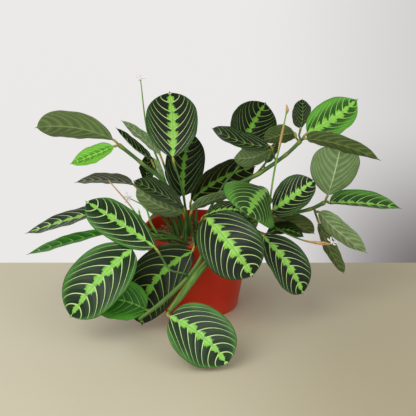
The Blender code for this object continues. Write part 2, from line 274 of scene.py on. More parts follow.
def lump(x, y):
    """A few crossing waves that stand in for the settled crumbs."""
    waves = math.sin(310 * x + 2.0 * math.sin(190 * y)) * math.sin(270 * y + 1.3)
    return waves * 0.0009 + 0.0005 * math.sin(820 * x + 1) * math.sin(760 * y)


def bark():
    material, tree, shader, place = finish("bark_mix")
    crumb = noise(tree, place, 260.0, 6.0)
    patch = noise(tree, place, 60.0, 3.0)
    fibre = noise(tree, stretched(tree, place, (300.0, 2400.0, 900.0)), 1.0, 3.0)
    brown = mix(tree, rise(tree, crumb, 0.35, 0.65), colour(58, 30, 18), colour(160, 98, 62))
    brown = mix(tree, rise(tree, patch, 0.48, 0.72), brown, colour(190, 132, 92))
    strands = calc(tree, "MULTIPLY", rise(tree, fibre, 0.55, 0.75), 0.6)
    brown = mix(tree, strands, brown, colour(220, 168, 126))
    tree.links.new(brown, shader.inputs["Base Color"])
    shader.inputs["Roughness"].default_value = 0.92
    shader.inputs["Specular IOR Level"].default_value = 0.25
    relief = calc(tree, "ADD", crumb, calc(tree, "MULTIPLY", fibre, 0.5))
    tree.links.new(bumped(tree, relief, 0.8, 0.0012), shader.inputs["Normal"])
    return material


def join(pieces, active):
    """Makes one object of the pieces, which keeps the active one's origin."""
    bpy.ops.object.select_all(action="DESELECT")
    for piece in pieces:
        piece.select_set(True)
    bpy.context.view_layer.objects.active = active
    bpy.ops.object.join()


bpy.ops.mesh.primitive_cylinder_add(
    vertices=SOIL_SIDES,
    radius=soil_top_radius,
    depth=soil_edge - soil_low.z,
    location=(0, 0, (soil_edge + soil_low.z) / 2),
)
soil = bpy.context.object
soil.name = "potting_mix"
bpy.ops.object.mode_set(mode="EDIT")
selected_only(soil, lambda face: face.normal.z < -0.5)
to_radius(soil_top_radius, base_radius - POT_WALL - SOIL_GAP, soil_low.z)
selected_only(soil, lambda face: face.normal.z > 0.5)
for ring in range(SOIL_RINGS - 1):
    bpy.ops.mesh.inset(thickness=soil_top_radius / SOIL_RINGS)
bpy.ops.mesh.poke()
bpy.ops.object.mode_set(mode="OBJECT")
for vertex in soil.data.vertices:
    spot = soil.matrix_world @ vertex.co
    away = math.hypot(spot.x, spot.y) / soil_top_radius
    if spot.z > soil_edge - 0.001 and away < 0.995:
        level = soil_height(spot.x, spot.y) + lump(spot.x, spot.y) * min(1, 8 * (1 - away))
        vertex.co.z = level - soil.location.z
bpy.ops.object.transform_apply(location=True, rotation=True, scale=True)
bpy.ops.object.shade_smooth_by_angle(angle=math.radians(50))

chip_shapes = []
for number in range(CHIP_SHAPES):
    bpy.ops.mesh.primitive_ico_sphere_add(subdivisions=1 + number % 2, radius=1)
    chip = bpy.context.object
    for vertex in chip.data.vertices:
        vertex.co *= 1 + chance.uniform(-0.32, 0.32)
    chip_shapes.append(chip)
chips = []
for number in range(CHIPS):
    source = chip_shapes[number % CHIP_SHAPES]
    reach = soil_top_radius * CHIP_REACH * math.sqrt(chance.uniform())
    turn = chance.uniform(0, 2 * math.pi)
    long = CHIP_SMALLEST + CHIP_SPREAD * chance.uniform() ** 2.0
    chip = source.copy()
    chip.data = source.data.copy()
    bpy.context.scene.collection.objects.link(chip)
    x, y = reach * math.cos(turn), reach * math.sin(turn)
    chip.location = (x, y, soil_height(x, y) + lump(x, y) + long * chance.uniform(0.05, 0.45))
    chip.rotation_euler = chance.uniform(-0.5, 0.5), chance.uniform(-0.5, 0.5), chance.uniform(0, 6.3)
    chip.scale = (long, long * chance.uniform(0.45, 0.9), long * chance.uniform(0.35, 0.6))
    chips.append(chip)
for shape in chip_shapes:
    bpy.data.objects.remove(shape)
join([*chips, soil], soil)
soil.data.materials.clear()
soil.data.materials.append(bark())
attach(soil, "root")
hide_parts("soil")

# Shoots. Round green stems that rise from the crown and lean out, with a swollen joint
# wherever a leaf or a side shoot leaves, and a thin dry sheath round some joints.
STEM_SIDES = 20
STEM_STEPS = 14
ROOTED = 0.005
ROOT_PULL = (0, 0, 25)
FOOT_LIFT = 0.5
SIDE_SHOOT_SINK = 2.5
KNOT_SWELL = 0.20
SHEATH_THICK = 0.6


def unit(vector):
    return vector / np.linalg.norm(vector)


def across(direction, normal):
    """The normal squared up to a direction."""
    return unit(normal - (normal @ direction) * direction)


def spline(points, steps, first_pull=None, last_pull=None):
    """A smooth curve through the points. The pulls are extra points that only steer its ends."""
    first = first_pull if first_pull is not None else 2 * points[0] - points[1]
    last = last_pull if last_pull is not None else 2 * points[-1] - points[-2]
    chain = [first, *points, last]
    curve = []
    for a, b, c, d in zip(chain, chain[1:], chain[2:], chain[3:]):
        reach = np.linalg.norm(c - b)
        leave = unit(c - a) * reach
        arrive = unit(d - b) * reach
        for s in np.arange(steps) / steps:
            point = (2 * s**3 - 3 * s**2 + 1) * b + (s**3 - 2 * s**2 + s) * leave
            curve.append(point + (3 * s**2 - 2 * s**3) * c + (s**3 - s**2) * arrive)
    curve.append(points[-1])
    return np.array(curve)


def tangents(curve):
    ends = np.vstack([curve[:1], curve, curve[-1:]])
    steps = ends[2:] - ends[:-2]
    return steps / np.linalg.norm(steps, axis=1)[:, None]


def wrap(name, rows, marks, parts, finishes):
    """Lays a grid on rows of points and sews it into one closed skin.

    rows is rows x columns x 3, its first and last columns the same line, its end rows one point
    each. marks is the same shape and goes to the attribute "growth". parts gives each face's
    material number from its row and column.
    """
    count, columns = rows.shape[:2]
    bpy.ops.object.select_all(action="DESELECT")
    bpy.ops.mesh.primitive_grid_add(x_subdivisions=columns - 1, y_subdivisions=count - 1, size=2)
    piece = bpy.context.object
    piece.name = name
    flat = np.empty(count * columns * 3)
    piece.data.vertices.foreach_get("co", flat)
    flat = flat.reshape(-1, 3)
    column = np.rint((flat[:, 0] + 1) / 2 * (columns - 1)).astype(int)
    row = np.rint((flat[:, 1] + 1) / 2 * (count - 1)).astype(int)
    piece.data.vertices.foreach_set("co", rows[row, column].ravel())
    growth = piece.data.attributes.new("growth", "FLOAT_VECTOR", "POINT")
    growth.data.foreach_set("vector", marks[row, column].ravel())
    for material in finishes:
        piece.data.materials.append(material)
    corners = np.empty(len(piece.data.polygons) * 4, int)
    piece.data.loops.foreach_get("vertex_index", corners)
    corners = corners.reshape(-1, 4)
    face_row = row[corners].min(axis=1)
    face_column = column[corners].min(axis=1)
    piece.data.polygons.foreach_set("material_index", parts(face_row, face_column))
    bpy.ops.object.mode_set(mode="EDIT")
    bpy.ops.mesh.select_all(action="SELECT")
    bpy.ops.mesh.remove_doubles(threshold=MERGE)
    bpy.ops.mesh.normals_make_consistent(inside=False)
    bpy.ops.object.mode_set(mode="OBJECT")
    bpy.ops.object.shade_smooth()
    return piece


def stem_skin(name, *tones):
    """Smooth green bark, read from growth: pale lengthwise streaks, yellow joints, a browner foot.

    tones are its dark, light and joint colours. growth is the folded angle round the stem, the
    place along it from -1 at the foot to 0, and dryness above nought or nearness to a joint
    below it.
    """
    low, high, joint = (colour(*tone) for tone in tones)
    material, tree, shader, place = finish(name)
    growth = add(tree, "ShaderNodeAttribute", {}, output=1, attribute_name="growth")
    turn, along, state = split_up(tree, growth)
    knot = calc(tree, "MINIMUM", calc(tree, "MAXIMUM", calc(tree, "MULTIPLY", state, -1.0), 0.0), 1.0)
    dryness = calc(tree, "MINIMUM", calc(tree, "MAXIMUM", state, 0.0), 1.0)
    lengthwise = {0: calc(tree, "MULTIPLY", turn, 7.0), 1: calc(tree, "MULTIPLY", along, 5.0)}
    streak = noise(tree, add(tree, "ShaderNodeCombineXYZ", lengthwise), 1.0, 3.0)
    blotch = noise(tree, place, 40.0, 2.0)
    skin = mix(tree, rise(tree, streak, 0.38, 0.68), low, high)
    blotched = calc(tree, "MULTIPLY", rise(tree, blotch, 0.5, 0.75), 0.3)
    skin = mix(tree, blotched, skin, colour(70, 84, 36))
    skin = mix(tree, knot, skin, joint)
    foot = fall(tree, along, -1.0, -0.88)
    skin = mix(tree, calc(tree, "MULTIPLY", foot, 0.5), skin, colour(110, 92, 52))
    straw = mix(tree, rise(tree, streak, 0.35, 0.65), colour(136, 90, 50), colour(214, 176, 124))
    skin = mix(tree, dryness, skin, straw)
    tree.links.new(skin, shader.inputs["Base Color"])
    shader.inputs["Specular IOR Level"].default_value = 0.3
    tree.links.new(calc(tree, "MULTIPLY_ADD", dryness, 0.35, 0.42), shader.inputs["Roughness"])
    tree.links.new(bumped(tree, streak, 0.15, 0.0003), shader.inputs["Normal"])
    return material


shoot_skin = stem_skin("shoot_skin", (48, 82, 32), (88, 128, 56), (140, 150, 62))
front_skin = stem_skin("front_shoot_skin", (64, 100, 36), (112, 150, 66), (160, 190, 104))
wiry_skin = stem_skin("flower_stalk_skin", (92, 142, 50), (140, 186, 82), (150, 180, 90))

shoot_lines = []


def shoot(node, piece_name, points, radii, rooted=True, joints=(), dry_from=2.0,
          dry_sheaths=(), skin=shoot_skin):
    """A round stem through points in millimetres, with a radius at each and swollen joints at some."""
    points = [np.array(p, float) for p in points]
    if len(points[0]) == 2:
        x, y = points[0]
        points[0] = np.array((x, y, soil_height(x * MM, y * MM) / MM + FOOT_LIFT))
    pull = points[0] - ROOT_PULL if rooted else None
    curve = spline(points, STEM_STEPS, pull)
    sink = np.array((0, 0, ROOTED / MM)) if rooted else SIDE_SHOOT_SINK * unit(curve[1] - curve[0])
    curve = np.vstack([curve[:1] - sink, curve])
    directions = tangents(curve)
    normal = across(directions[0], np.array((0.3, -1.0, 0.2)))
    place = np.maximum(np.arange(len(curve)) - 1, 0) / STEM_STEPS
    radius = np.interp(place, range(len(radii)), radii)
    knot = np.zeros(len(curve))
    for joint in joints:
        knot = np.maximum(knot, np.exp(-(((place - joint) * 9) ** 2)))
    dry = np.clip((place / (len(radii) - 1) - dry_from) * 8, 0, 1)
    for spot, length in dry_sheaths:
        sleeve = np.clip(1 - np.abs(place - spot) / length, 0, 1)
        radius = radius + SHEATH_THICK * np.sqrt(sleeve)
        dry = np.maximum(dry, np.clip(sleeve * 4, 0, 1) * 0.85)
    radius = radius * (1 + KNOT_SWELL * knot)
    shoot_lines.append(curve)
    angles = np.linspace(0, 2 * math.pi, STEM_SIDES + 1)
    rows = np.empty((len(curve) + 2, STEM_SIDES + 1, 3))
    marks = np.zeros_like(rows)
    for index, centre in enumerate(curve):
        normal = across(directions[index], normal)
        side = np.cross(directions[index], normal)
        circle = np.cos(angles)[:, None] * side + np.sin(angles)[:, None] * normal
        rows[index + 1] = centre + radius[index] * circle
        marks[index + 1, :, 0] = np.abs(angles / math.pi - 1)
        marks[index + 1, :, 1] = index / len(curve) - 1
        marks[index + 1, :, 2] = dry[index] - 0.6 * knot[index]
    rows[0] = curve[0]
    rows[-1] = curve[-1] + directions[-1] * radius[-1] * 0.6
    marks[0], marks[-1] = marks[1], marks[-2]
    piece = wrap(piece_name, rows * MM, marks, lambda row, column: row * 0, [skin])
    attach(piece, "root")
    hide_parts(node)
    return piece


shoot("stem_left", "left_shoot", [(-20, -2), (-42, -3, 172), (-77, -3, 206), (-106, -4, 231)],
      (3.0, 2.8, 2.4, 2.6), joints=(2.0, 2.9))
shoot("stem_right_upper", "right_upper_shoot",
      [(6, -4), (39, -12, 166), (86, -13, 196), (118, -13, 220), (137, -13, 239)],
      (3.4, 3.2, 2.8, 2.4, 2.6), joints=(1.9, 3.0, 3.9))
shoot("stem_right", "right_shoot",
      [(20, -16), (66, -32, 134), (110, -36, 142), (150, -31, 149), (170, -24, 156)],
      (3.0, 2.8, 2.4, 2.4, 2.8), joints=(2.0, 3.0, 3.9), dry_sheaths=((2.1, 0.3),))
shoot("stem_front_left", "front_left_shoot",
      [(2, -32), (9, -68, 121), (6, -88, 104), (-12, -101, 80), (-45, -117, 52), (-76, -127, 31)],
      (3.0, 3.0, 3.0, 3.0, 3.0, 2.0), skin=front_skin)
shoot("stem_front", "front_shoot",
      [(12, -34), (20, -72, 122), (15, -98, 104), (-2, -117, 88), (-20, -138, 70), (-35, -158, 57)],
      (3.2, 3.4, 4.2, 4.6, 4.4, 3.0), skin=front_skin)

# Leaves on the left. Each is one growth: a sheathing stalk, a short yellow knuckle and a thin
# oval blade, quilted between its side veins. The upper side is dark green with a feathered
# lime heart and fine pale veins; the underside is grey green and dull.
STALK_RADIUS = 1.4
STALK_ROWS = 9
BLADE_HALF = 0.28
BLADE_ROWS = 66
BLADE_COLUMNS = 34
VEINS_PER_BLADE = 7.2
VEIN_START = -16.0
QUILT = 0.6
TIP_SHARE = 0.975
FLARE = 0.05
FLARE_THICK = 0.12
RIB_DEPTH = 0.8
RIB_GREEN = (104, 150, 62)
LEAF_ROUGHNESS = 0.33
leaf_seeds = itertools.count(101)


def growth_parts(tree):
    """What a blade carries: place across, its size, place along, vein count, and 0 on a vein to 1."""
    growth = add(tree, "ShaderNodeAttribute", {}, output=1, attribute_name="growth")
    side, along, count = split_up(tree, growth)
    away = calc(tree, "ABSOLUTE", side)
    between = calc(tree, "MULTIPLY", calc(tree, "PINGPONG", count, 0.5), 2.0)
    return side, away, along, count, between


def upper_finish(name, *tones, heart_width=0.15, vein_width=0.13, margin_from=0.80):
    """The patterned upper side: dark panels, a greener margin, a lobed lime heart, pale veins.

    tones are panel, light panel, margin, heart, light heart and vein. The widths and
    margin_from are shares of the half blade.
    """
    panel, panel_light, margin, heart, heart_light, vein = (colour(*tone) for tone in tones)
    material, tree, shader, place = finish(name)
    side, away, along, count, between = growth_parts(tree)
    wander = calc(tree, "SUBTRACT", noise(tree, place, 150.0, 2.0), 0.5)
    jag = calc(tree, "SUBTRACT", noise(tree, place, 700.0, 2.0), 0.5)
    cloud = noise(tree, place, 45.0, 2.0)
    strand_place = add(tree, "ShaderNodeCombineXYZ", {0: calc(tree, "MULTIPLY", count, 13.0), 1: side})
    strand = noise(tree, strand_place, 1.0, 2.0)
    comb = {0: calc(tree, "MULTIPLY", count, 9.0), 1: calc(tree, "MULTIPLY", side, 2.5)}
    feather = noise(tree, add(tree, "ShaderNodeCombineXYZ", comb), 1.0, 2.0)
    feather = calc(tree, "SUBTRACT", feather, 0.5)

    outward = calc(tree, "MULTIPLY_ADD", away, 0.30, calc(tree, "SUBTRACT", strand, 0.12))
    body = mix(tree, rise(tree, outward, 0.35, 0.75), panel, panel_light)
    rim_place = calc(tree, "MULTIPLY_ADD", calc(tree, "SUBTRACT", cloud, 0.5), 0.30, away)
    rim_place = calc(tree, "MULTIPLY_ADD", calc(tree, "SUBTRACT", strand, 0.5), 0.45, rim_place)
    body = mix(tree, rise(tree, rim_place, margin_from - 0.10, margin_from + 0.24), body, margin)

    line = calc(tree, "MULTIPLY_ADD", away, -0.35 * vein_width, vein_width)
    line = calc(tree, "MULTIPLY_ADD", wander, 0.05, line)
    thin = calc(tree, "DIVIDE", between, line)
    lit = fall(tree, thin, 0.40, 1.25)
    fade = calc(tree, "MULTIPLY_ADD", rise(tree, away, 0.75, 1.0), -0.80, 1.0)
    body = mix(tree, calc(tree, "MULTIPLY", lit, fade), body, vein)

    past_vein = calc(tree, "FRACT", calc(tree, "ADD", count, -0.03))
    lobe = fall(tree, past_vein, 0.40, 0.85)
    own_place = add(tree, "ShaderNodeCombineXYZ", {0: count, 1: calc(tree, "SIGN", side)})
    own = noise(tree, own_place, 0.9, 0.0)
    edge = calc(tree, "MULTIPLY_ADD", lobe, 0.90 * heart_width, 0.50 * heart_width)
    edge = calc(tree, "MULTIPLY", edge, calc(tree, "MULTIPLY_ADD", own, 1.4, 0.3))
    edge = calc(tree, "MULTIPLY", edge, calc(tree, "MULTIPLY_ADD", along, -0.40, 1.15))
    edge = calc(tree, "MULTIPLY_ADD", feather, 1.7 * heart_width, edge)
    edge = calc(tree, "MULTIPLY_ADD", jag, 1.0 * heart_width, edge)
    inside = calc(tree, "DIVIDE", away, calc(tree, "MAXIMUM", edge, 0.01))
    core = fall(tree, inside, 0.86, 1.10)
    bright = mix(tree, rise(tree, inside, 0.15, 0.95), heart_light, heart)
    bright = mix(tree, rise(tree, feather, 0.02, 0.16), bright, heart)
    body = mix(tree, core, body, bright)
    rib_line = fall(tree, away, 0.008, 0.028)
    body = mix(tree, calc(tree, "MULTIPLY", rib_line, 0.7), body, colour(*RIB_GREEN))
    shade = calc(tree, "MULTIPLY_ADD", cloud, 0.35, 0.83)
    body = add(tree, "ShaderNodeVectorMath", {0: body, "Scale": shade}, operation="SCALE")
    tree.links.new(body, shader.inputs["Base Color"])

    rough = calc(tree, "MULTIPLY_ADD", strand, 0.14, LEAF_ROUGHNESS)
    tree.links.new(rough, shader.inputs["Roughness"])
    shader.inputs["Specular IOR Level"].default_value = 0.24
    sunk = calc(tree, "MULTIPLY", lit, -0.5)
    relief = calc(tree, "MULTIPLY_ADD", strand, 0.45, sunk)
    tree.links.new(bumped(tree, relief, 0.45, 0.0005), shader.inputs["Normal"])
    return material


def under_finish(name, *tones):
    """The dull underside: wide faint stripes that fan with the veins, and a raised pale rib.

    tones are its base, stripe, vein and blush colours.
    """
    base, stripe, vein, blush = (colour(*tone) for tone in tones)
    material, tree, shader, place = finish(name)
    side, away, _, count, between = growth_parts(tree)
    cloud = noise(tree, place, 50.0, 3.0)
    strand_place = add(tree, "ShaderNodeCombineXYZ", {0: calc(tree, "MULTIPLY", count, 9.0), 1: side})
    strand = noise(tree, strand_place, 1.0, 2.0)
    body = mix(tree, rise(tree, between, 0.25, 0.85), stripe, base)
    body = mix(tree, calc(tree, "MULTIPLY", rise(tree, strand, 0.4, 0.7), 0.55), body, stripe)
    body = mix(tree, calc(tree, "MULTIPLY", rise(tree, cloud, 0.45, 0.75), 0.5), body, blush)
    line = fall(tree, between, 0.04, 0.15)
    body = mix(tree, calc(tree, "MULTIPLY", line, 0.7), body, vein)
    rib = fall(tree, away, 0.015, 0.05)
    body = mix(tree, rib, body, vein)
    tree.links.new(body, shader.inputs["Base Color"])
    shader.inputs["Roughness"].default_value = 0.55
    shader.inputs["Specular IOR Level"].default_value = 0.25
    relief = calc(tree, "ADD", calc(tree, "MULTIPLY", strand, 0.35), calc(tree, "ADD", line, rib))
    tree.links.new(bumped(tree, relief, 0.8, 0.0008), shader.inputs["Normal"])
    return material


stalk_skin = stem_skin("stalk_skin", (44, 78, 30), (90, 130, 56), (168, 160, 70))
sage_under = under_finish(
    "sage_underside", (100, 128, 78), (126, 154, 102), (178, 202, 146), (90, 118, 68),
)
light_under = under_finish(
    "light_sage_underside", (114, 144, 90), (142, 170, 118), (204, 222, 176), (98, 128, 76),
)
dull_under = under_finish(
    "dull_green_underside", (92, 114, 66), (112, 136, 86), (156, 178, 118), (78, 98, 54),
)
olive_under = under_finish(
    "green_grey_underside", (76, 98, 50), (96, 118, 66), (140, 162, 100), (64, 82, 40),
)
dark_upper = upper_finish(
    "dark_upper_side", (6, 18, 8), (20, 44, 20), (40, 80, 30), (118, 182, 60), (156, 208, 98),
    (192, 218, 140),
)
deep_upper = upper_finish(
    "deep_upper_side", (10, 20, 8), (22, 40, 14), (26, 54, 18), (96, 154, 44), (114, 174, 60),
    (142, 176, 80), heart_width=0.09, margin_from=0.86, vein_width=0.11,
)
bare_upper = upper_finish(
    "dark_plain_upper_side", (14, 26, 10), (26, 46, 18), (34, 62, 22), (90, 140, 46),
    (110, 160, 60), (138, 172, 84), heart_width=0.02, margin_from=0.80, vein_width=0.12,
)
fresh_upper = upper_finish(
    "fresh_upper_side", (10, 34, 12), (28, 64, 24), (62, 116, 42), (116, 186, 62), (150, 208, 98),
    (196, 222, 146), heart_width=0.12, margin_from=0.76, vein_width=0.13,
)
mid_upper = upper_finish(
    "mid_upper_side", (24, 58, 18), (42, 88, 28), (68, 124, 40), (106, 170, 50), (132, 190, 76),
    (168, 202, 110), heart_width=0.11, margin_from=0.60,
)
young_upper = upper_finish(
    "young_upper_side", (26, 76, 14), (44, 106, 22), (76, 146, 36), (116, 184, 56), (144, 204, 82),
    (178, 212, 108), heart_width=0.18, margin_from=0.56,
)
plain_upper = upper_finish(
    "plain_young_upper_side", (28, 92, 12), (48, 122, 22), (70, 142, 34), (110, 176, 50),
    (130, 194, 70), (140, 196, 74), heart_width=0.03, margin_from=0.66, vein_width=0.10,
)
bright_upper = upper_finish(
    "bright_young_upper_side", (58, 132, 24), (104, 176, 48), (110, 180, 56), (130, 196, 70),
    (150, 208, 90), (168, 214, 104), heart_width=0.08, margin_from=0.30, vein_width=0.14,
)
striped_upper = upper_finish(
    "striped_upper_side", (36, 36, 16), (54, 56, 26), (54, 78, 30), (96, 130, 56), (120, 150, 78),
    (136, 158, 82), heart_width=0.02, margin_from=0.84, vein_width=0.20,
)
lime_upper = upper_finish(
    "lime_upper_side", (96, 168, 40), (122, 190, 56), (140, 204, 70), (150, 210, 80),
    (160, 216, 90), (150, 210, 80), heart_width=0.02,
)
LEAF_FINISHES = {
    "dark": (dark_upper, sage_under),
    "deep": (deep_upper, sage_under),
    "fresh": (fresh_upper, sage_under),
    "mid": (mid_upper, sage_under),
    "young": (young_upper, sage_under),
    "plain": (plain_upper, sage_under),
    "bare": (bare_upper, sage_under),
    "bright": (bright_upper, sage_under),
    "striped": (striped_upper, olive_under),
    "lime": (lime_upper, lime_upper),
    "pale": (dark_upper, sage_under),
    "light": (dark_upper, light_under),
    "dull": (dark_upper, dull_under),
    "olive": (dark_upper, olive_under),
}


def blade_outline(t, lean, point):
    """Share of the full half width at t along the blade: a blunt oval with a small drawn tip."""
    body = np.clip(t / TIP_SHARE, 0, 1)
    past_middle = np.clip((body - 0.5) * 2, 0, 1)
    oval = np.maximum(0, 1 - np.abs(2 * body**lean - 1) ** 2.4) ** (0.52 + 0.5 * point * past_middle)
    drip = 0.07 * np.clip((1 - t) / (1.6 * (1 - TIP_SHARE)), 0, 1)
    return np.maximum(oval, np.where(t > 0.5, drip, 0))


def leaf(node, kind, foot, base, middle, tip, half_width, facing,
         path=(), cup=0.12, lean=1.05, roots=True, ripple=0.6, point=0.3, look=None):
    """One leaf, from the foot of its stalk, by way of path, to the blade's base, middle and tip.

    Millimetres. A foot with two numbers stands on the soil. facing is the way the upper side
    looks. cup rolls the sides up, lean moves the widest part out, ripple waves the edge and
    point sharpens the tip. look names another finish than the kind's own.
    """
    luck = np.random.default_rng(next(leaf_seeds))
    if len(foot) == 2:
        foot = (*foot, soil_height(foot[0] * MM, foot[1] * MM) / MM + FOOT_LIFT)
    foot, base, middle, tip = (np.array(p, float) for p in (foot, base, middle, tip))
    path = [np.array(p, float) for p in path]
    facing = unit(np.array(facing, float))
    pull = foot - ROOT_PULL if roots else None
    stalk = spline([foot, *path, base], STALK_ROWS, pull, middle)
    start = foot - (0, 0, ROOTED / MM)
    if not roots:
        near = [line[np.argmin(np.linalg.norm(line - foot, axis=1))] for line in shoot_lines]
        start = min(near, key=lambda point: np.linalg.norm(point - foot))
    stalk = np.vstack([[start], (start + foot) / 2, stalk])
    even = np.linspace(0, 1, BLADE_ROWS + 1)
    t = 0.45 * even + 0.55 * (1 - np.cos(math.pi * even)) / 2
    bend = 2 * middle - (base + tip) / 2
    blade = ((1 - t) ** 2)[:, None] * base + (2 * t * (1 - t))[:, None] * bend + (t * t)[:, None] * tip
    curve = np.vstack([stalk[:-1], blade])
    joint = len(stalk) - 1
    t = np.concatenate([np.zeros(joint), t])
    directions = tangents(curve)
    normals = np.empty_like(curve)
    for index in range(joint, len(curve)):
        normals[index] = across(directions[index], facing)
    for index in range(joint - 1, -1, -1):
        normals[index] = across(directions[index], normals[index + 1])
    sides = np.cross(directions, normals)

    length = np.linalg.norm(np.diff(blade, axis=0), axis=1).sum()
    stalk_length = np.linalg.norm(np.diff(curve[: joint + 1], axis=0), axis=1)
    travelled = np.concatenate([[0], np.cumsum(stalk_length)])
    on_stalk = np.arange(len(curve)) < joint
    to_blade = np.zeros(len(curve))
    to_blade[: joint + 1] = travelled[-1] - travelled
    from_foot = np.zeros(len(curve))
    from_foot[: joint + 1] = travelled / max(travelled[-1], 1e-6)
    knuckle = np.where(on_stalk, np.exp(-((to_blade - 4) / 5) ** 2), 0)
    sheath = 0.70 * np.clip(1 - from_foot * 1.7, 0, 1) * roots
    stalk_radius = STALK_RADIUS * (1 + 0.25 * knuckle + sheath)
    outline = blade_outline(t, lean, point)
    flat = np.clip(t / FLARE, 0, 1)
    narrow = np.maximum(stalk_radius * np.clip(1 - t / FLARE, 0, 1), 0.12)
    wide = np.where(on_stalk, stalk_radius, np.maximum(narrow, half_width * outline))
    thinning = np.clip(1 - t / FLARE_THICK, 0, 1) ** 2
    thick = BLADE_HALF + (STALK_RADIUS - BLADE_HALF) * thinning
    thick = np.where(on_stalk, stalk_radius, thick)

    around = np.linspace(0, 2, 2 * BLADE_COLUMNS + 1)
    s = np.where(around <= 1, 2 * around - 1, 3 - 2 * around)
    upper = np.where(around <= 1, 1.0, -1.0)
    a = (1 - flat)[:, None] * np.sin(s * math.pi / 2) + flat[:, None] * s
    away = np.abs(a)
    round_swell = (1 - flat)[:, None] * np.cos(s * math.pi / 2)
    swell = round_swell + flat[:, None] * np.sqrt(np.maximum(0, 1 - away**3))
    reach = half_width / length
    apart = away * (0.35 + 0.65 * outline)[:, None]
    bow = reach * ((0.95 - 0.70 * t[:, None]) * apart + 1.20 * apart**3)
    vein = (t[:, None] - bow) * VEINS_PER_BLADE + 0.2 * luck.uniform() + VEIN_START
    ends = (np.sin(math.pi * np.clip(t, 0, 1)) ** 0.6)[:, None]
    roll = 2 * cup * (1 + 0.9 * (1 - t) ** 3)
    roll = np.where(np.abs(roll) < 1e-3, 1e-3, roll)[:, None] * flat[:, None] + 1e-4
    left_phase, right_phase = luck.uniform(0, 2 * math.pi, 2)
    waves = np.sin(2 * math.pi * 2.3 * t[:, None] + np.where(a > 0, left_phase, right_phase))
    waves += 0.5 * np.sin(2 * math.pi * 5.1 * t[:, None] + 2 * left_phase)
    lift = ripple * 1.1 * away**3 * waves * ends
    pillow = 0.5 - 0.5 * np.cos(2 * math.pi * vein)
    lift += QUILT * pillow * (1 - away**6) * np.clip(away * 5, 0, 1) * ends
    lift -= RIB_DEPTH * np.exp(-((a / 0.09) ** 2)) * ends * (1 - 0.6 * t[:, None])
    lift *= flat[:, None]
    raised = upper * thick[:, None] * swell
    out = wide[:, None] * np.sin(roll * a) / roll - np.sin(roll * a) * (raised + lift)
    up = wide[:, None] * (1 - np.cos(roll * a)) / roll + np.cos(roll * a) * (raised + lift)
    skin = curve[:, None] - sides[:, None] * out[..., None] + normals[:, None] * up[..., None]
    marks = np.stack([a, np.broadcast_to(t[:, None], a.shape), vein], axis=-1)
    marks[:joint, :, 0] = np.abs(around - 1)
    marks[:joint, :, 1] = from_foot[:joint, None] - 1
    marks[:joint, :, 2] = -0.8 * knuckle[:joint, None]

    rows = np.concatenate([np.broadcast_to(curve[0], skin[:1].shape), skin,
                           np.broadcast_to(curve[-1], skin[:1].shape)])
    marks = np.concatenate([marks[:1], marks, marks[-1:]])

    def part(row, column):
        return np.where(row <= joint, 2, np.where(column < BLADE_COLUMNS, 0, 1))

    name = node.removeprefix("leaf_") + "_leaf"
    skins = (*LEAF_FINISHES[look or kind], stalk_skin)
    piece = wrap(name, rows * MM, marks, part, skins)
    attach(piece, "root")
    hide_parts(node)
    return piece


leaf("leaf_left_top", "olive", (-109.5, -1, 234), (-114, 0, 237), (-163, -5, 255),
     (-216, -10, 256), 30, (0.05, 0.80, 0.60), lean=1.5, roots=False, point=0.4, look="dull")
leaf("leaf_left_young", "young", (-110, -8, 230), (-113, -9, 230), (-139, -14, 219),
     (-171, -18, 208), 17, (-0.24, -0.47, 0.85), roots=False, point=1.0, look="bright")
leaf("leaf_curled_upper", "pale", (-22, 12), (-52, 22, 210), (-75, 26, 232),
     (-105, 30, 256), 13, (0.52, 0.71, 0.48), point=0.8, look="light")
leaf("leaf_curled_lower", "mid", (-27, 4), (-64, 12, 206), (-87, 14, 223),
     (-111, 15, 250), 14, (0.65, -0.12, 0.75), cup=0.3, point=0.8, look="bare")
leaf("leaf_top_tall", "dark", (-12, -4), (-34, 5, 211), (-34, 18, 254),
     (-38, 22, 298), 36, (-0.17, -0.97, 0.18), path=[(-22, -2, 170)], lean=1.25, point=0.0)
leaf("leaf_behind_tall", "dark", (-11, 16), (-20, 32, 147), (-20, 44, 191),
     (-8, 52, 233), 31, (0.46, -0.88, 0.13), look="deep")
leaf("leaf_rolled_a", "mid", (-29, 12), (-71, 22, 173), (-70, 24, 190),
     (-68, 22, 211), 14, (0.2, -0.9, 0.3), cup=0.5, look="bare")
leaf("leaf_rolled_b", "pale", (-26, -9), (-50, 4, 179), (-54, 6, 192),
     (-61, 8, 210), 8, (0.8, 0.5, 0.1), cup=0.5, look="light")
leaf("leaf_left_thin", "mid", (-30, -4), (-88, -5, 176), (-127, -3, 181),
     (-167, -2, 177), 24, (0.02, 0.0, 1.00), point=1.0, look="striped")
leaf("leaf_left_folded", "dark", (-16, -24), (-20, -28, 152), (-53, -36, 175),
     (-86, -34, 190), 28, (0.50, -0.16, 0.85), look="bare")
leaf("leaf_left_under", "pale", (-20, -16), (-21, -20, 141), (-54, -22, 152),
     (-83, -20, 175), 20, (0.25, 0.92, 0.30))
leaf("leaf_far_left_upper", "dark", (-22, -26), (-125, -35, 149), (-177, -28, 132),
     (-235, -20, 110), 22, (-0.35, -0.14, 0.92), path=[(-38, -34, 114), (-72, -40, 126)], point=1.0)
leaf("leaf_far_left_lower", "young", (-18, -32), (-122, -50, 122), (-177, -42, 105),
     (-233, -30, 83), 16, (-0.35, -0.12, 0.93), path=[(-40, -42, 114), (-76, -50, 120)],
     cup=0.2, point=1.1, look="plain")

